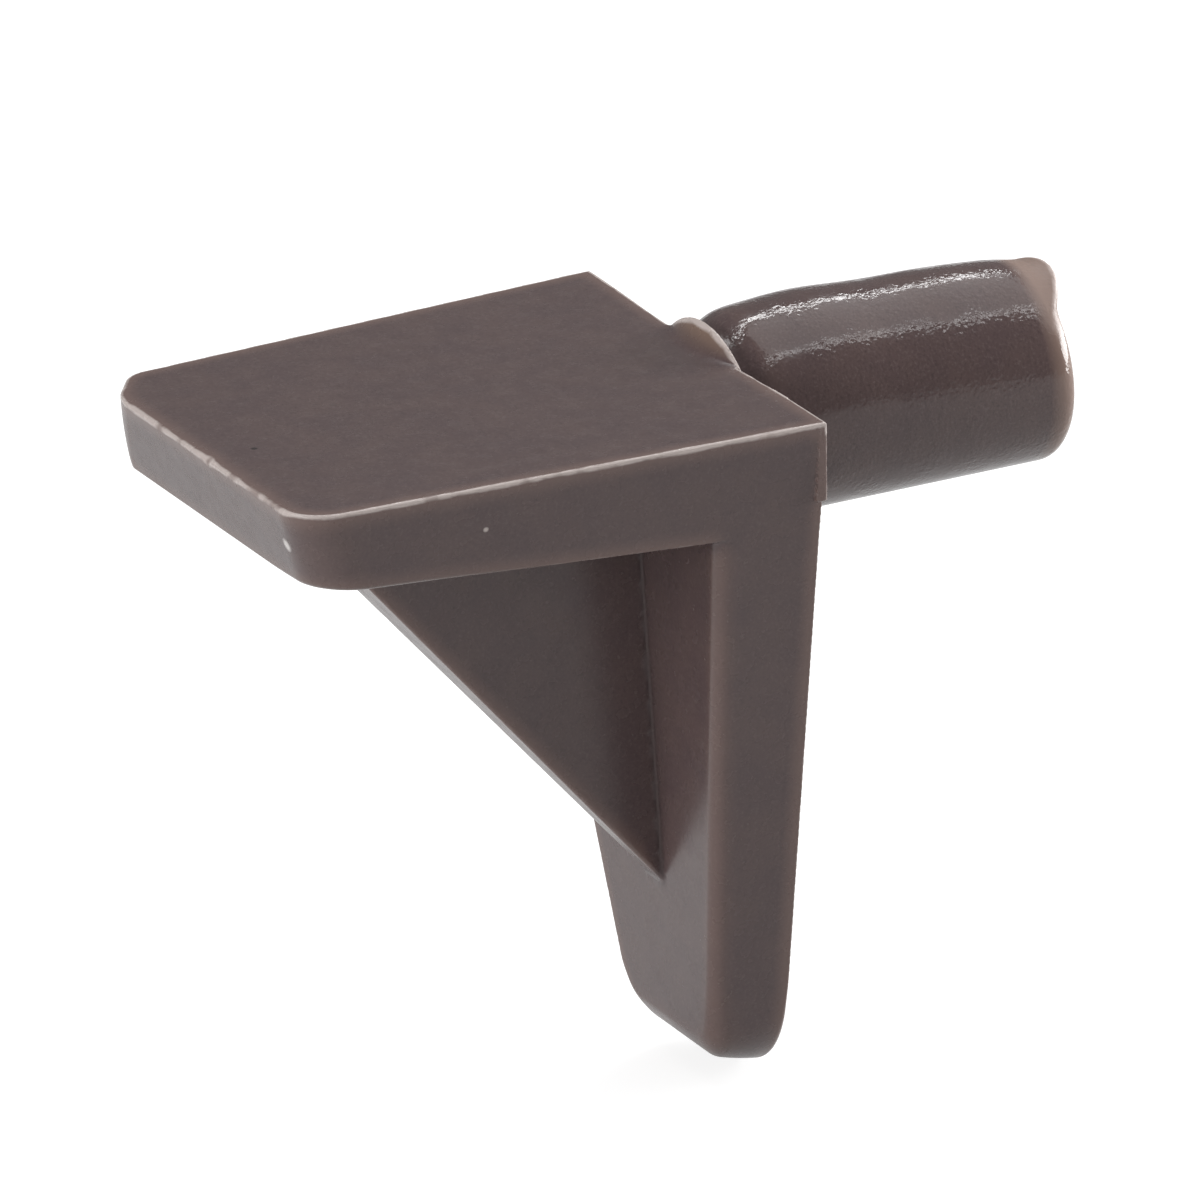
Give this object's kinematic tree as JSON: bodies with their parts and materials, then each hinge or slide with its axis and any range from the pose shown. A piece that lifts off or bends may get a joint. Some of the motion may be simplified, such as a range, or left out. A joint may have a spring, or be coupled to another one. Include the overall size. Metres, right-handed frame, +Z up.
{
  "type": "shelf clip",
  "caption": "Moulded shelf clip: a flat ledge on a tapered hanging plate, braced by a thin gusset, with a round peg that plugs into a cabinet side.",
  "frame": {"origin": "on the peg's axis, in the plane of the lower back face that seats on the cabinet side", "axes": "+Y along the peg, out toward its tip; +Z up, out of the ledge's top face; X across the ledge, which reaches toward -Y"},
  "size_m": [0.0126, 0.0215, 0.0181],
  "materials": {
    "plastic": "satin, dark grey-brown, finely speckled, paler along its thin edges"
  },
  "bodies": {
    "root": {"shelf_clip": "plastic"}
  },
  "joints": []
}
